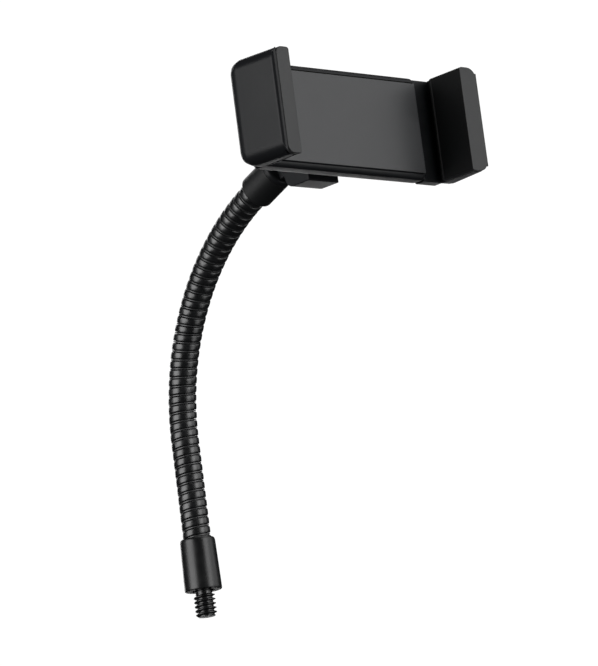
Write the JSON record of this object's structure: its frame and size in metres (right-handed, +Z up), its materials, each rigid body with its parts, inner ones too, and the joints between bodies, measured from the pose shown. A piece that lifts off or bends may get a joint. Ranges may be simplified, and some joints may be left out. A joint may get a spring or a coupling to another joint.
{
  "type": "phone clamp on a gooseneck arm",
  "caption": "Spring clamp phone holder with padded jaws on a swivelling tilt joint, carried by a black steel gooseneck arm with a 1/4 inch threaded stud.",
  "frame": {"origin": "centre of the lower ferrule's shoulder, where the threaded stud comes out", "axes": "+Z up the stud's axis into the arm, stud pointing down -Z, phone side of the clamp facing -Y, sliding jaw on the +X side"},
  "size_m": [0.0843, 0.1014, 0.1426],
  "materials": {
    "zinc_plated_steel": "bright zinc plate",
    "black_oxide_steel": "satin black plating",
    "matt_black_steel": "matt black powder coat",
    "textured_black_plastic": "fine spark-eroded texture",
    "face_panel_plastic": "satin",
    "pad_rubber": "matt moulded"
  },
  "bodies": {
    "stud_foot": {"threaded_stud": "black_oxide_steel", "lower_ferrule": "black_oxide_steel", "gooseneck_link_00": "black_oxide_steel"},
    "arm_01": {"gooseneck_link_01": "black_oxide_steel"},
    "arm_02": {"gooseneck_link_02": "black_oxide_steel"},
    "arm_03": {"gooseneck_link_03": "black_oxide_steel"},
    "arm_04": {"gooseneck_link_04": "black_oxide_steel"},
    "arm_05": {"gooseneck_link_05": "black_oxide_steel"},
    "arm_06": {"gooseneck_link_06": "black_oxide_steel"},
    "arm_07": {"gooseneck_link_07": "black_oxide_steel"},
    "arm_08": {"gooseneck_link_08": "black_oxide_steel"},
    "arm_09": {"gooseneck_link_09": "black_oxide_steel"},
    "arm_10": {"gooseneck_link_10": "black_oxide_steel"},
    "arm_11": {"gooseneck_link_11": "black_oxide_steel"},
    "arm_end": {"gooseneck_link_12": "black_oxide_steel", "upper_ferrule": "matt_black_steel", "tilt_knuckle": "textured_black_plastic"},
    "yoke": {"hinge_yoke": "textured_black_plastic", "hinge_screw": "matt_black_steel", "friction_washer_left": "matt_black_steel", "friction_washer_right": "matt_black_steel"},
    "tilt_knob": {"tilt_knob": "textured_black_plastic", "knob_nut": "zinc_plated_steel"},
    "clamp": {"clamp_body": "textured_black_plastic", "face_plate": "face_panel_plastic", "swivel_ring": "textured_black_plastic", "ring_screw_1": "zinc_plated_steel", "ring_screw_2": "zinc_plated_steel", "ring_screw_3": "zinc_plated_steel", "case_screw_1": "zinc_plated_steel", "case_screw_2": "zinc_plated_steel", "case_screw_3": "zinc_plated_steel", "case_screw_4": "zinc_plated_steel", "fixed_jaw_pad": "pad_rubber", "return_spring_upper": "zinc_plated_steel", "return_spring_lower": "zinc_plated_steel"},
    "sliding_jaw": {"sliding_jaw": "textured_black_plastic", "sliding_jaw_pad": "pad_rubber"}
  },
  "joints": [
    {"name": "bend_lower", "type": "hinge", "parent": "stud_foot", "child": "arm_01", "pos_m": [0, 0, 0.02004], "axis": [1, 0, 0], "range_deg": [-18, 8]},
    {"name": "sway_lower", "type": "hinge", "parent": "arm_01", "child": "arm_02", "pos_m": [0, 0, 0.02931], "axis": [0, 1, 0], "range_deg": [-15, 15]},
    {"name": "bend_lower_2", "type": "hinge", "parent": "arm_02", "child": "arm_03", "pos_m": [0, 0, 0.03859], "axis": [1, 0, 0], "range_deg": [-18, 8]},
    {"name": "sway_lower_2", "type": "hinge", "parent": "arm_03", "child": "arm_04", "pos_m": [0, -0.00007, 0.04787], "axis": [0, 0.9989, 0.0461], "range_deg": [-15, 15]},
    {"name": "bend_lower_3", "type": "hinge", "parent": "arm_04", "child": "arm_05", "pos_m": [0, -0.00112, 0.05708], "axis": [1, 0, 0], "range_deg": [-18, 8]},
    {"name": "sway_lower_3", "type": "hinge", "parent": "arm_05", "child": "arm_06", "pos_m": [0, -0.00341, 0.06606], "axis": [0, 0.9503, 0.3113], "range_deg": [-15, 15]},
    {"name": "bend_upper", "type": "hinge", "parent": "arm_06", "child": "arm_07", "pos_m": [0, -0.00688, 0.07465], "axis": [1, 0, 0], "range_deg": [-18, 8]},
    {"name": "sway_upper", "type": "hinge", "parent": "arm_07", "child": "arm_08", "pos_m": [0, -0.01149, 0.0827], "axis": [0, 0.8326, 0.5539], "range_deg": [-15, 15]},
    {"name": "bend_upper_2", "type": "hinge", "parent": "arm_08", "child": "arm_09", "pos_m": [0, -0.01713, 0.09005], "axis": [1, 0, 0], "range_deg": [-18, 8]},
    {"name": "sway_upper_2", "type": "hinge", "parent": "arm_09", "child": "arm_10", "pos_m": [0, -0.02371, 0.09658], "axis": [0, 0.6543, 0.7562], "range_deg": [-15, 15]},
    {"name": "bend_upper_3", "type": "hinge", "parent": "arm_10", "child": "arm_11", "pos_m": [0, -0.03112, 0.10215], "axis": [1, 0, 0], "range_deg": [-18, 8]},
    {"name": "sway_upper_3", "type": "hinge", "parent": "arm_11", "child": "arm_end", "pos_m": [0, -0.0392, 0.10668], "axis": [0, 0.4285, 0.9035], "range_deg": [-15, 15]},
    {"name": "tilt", "type": "hinge", "parent": "arm_end", "child": "yoke", "pos_m": [0, -0.06439, 0.11677], "axis": [1, 0, 0], "range_deg": [-95, 28]},
    {"name": "tilt_knob_turn", "type": "hinge", "parent": "yoke", "child": "tilt_knob", "pos_m": [0, -0.06439, 0.11677], "axis": [1, 0, 0], "continuous": true},
    {"name": "clamp_swivel", "type": "hinge", "parent": "yoke", "child": "clamp", "pos_m": [0, -0.0761, 0.1195], "axis": [0, 1, 0], "continuous": true},
    {"name": "jaw_slide", "type": "slide", "parent": "clamp", "child": "sliding_jaw", "axis": [1, 0, 0], "range_m": [0, 0.018], "stiffness_N_per_m": 400, "springref_m": -0.02, "deforming": ["return_spring_upper", "return_spring_lower"]}
  ],
  "couplings": [
    {"joint": "bend_lower_2", "follows": "bend_lower", "ratio": 1},
    {"joint": "sway_lower_2", "follows": "sway_lower", "ratio": 1},
    {"joint": "bend_lower_3", "follows": "bend_lower", "ratio": 1},
    {"joint": "sway_lower_3", "follows": "sway_lower", "ratio": 1},
    {"joint": "bend_upper_2", "follows": "bend_upper", "ratio": 1},
    {"joint": "sway_upper_2", "follows": "sway_upper", "ratio": 1},
    {"joint": "bend_upper_3", "follows": "bend_upper", "ratio": 1},
    {"joint": "sway_upper_3", "follows": "sway_upper", "ratio": 1}
  ]
}
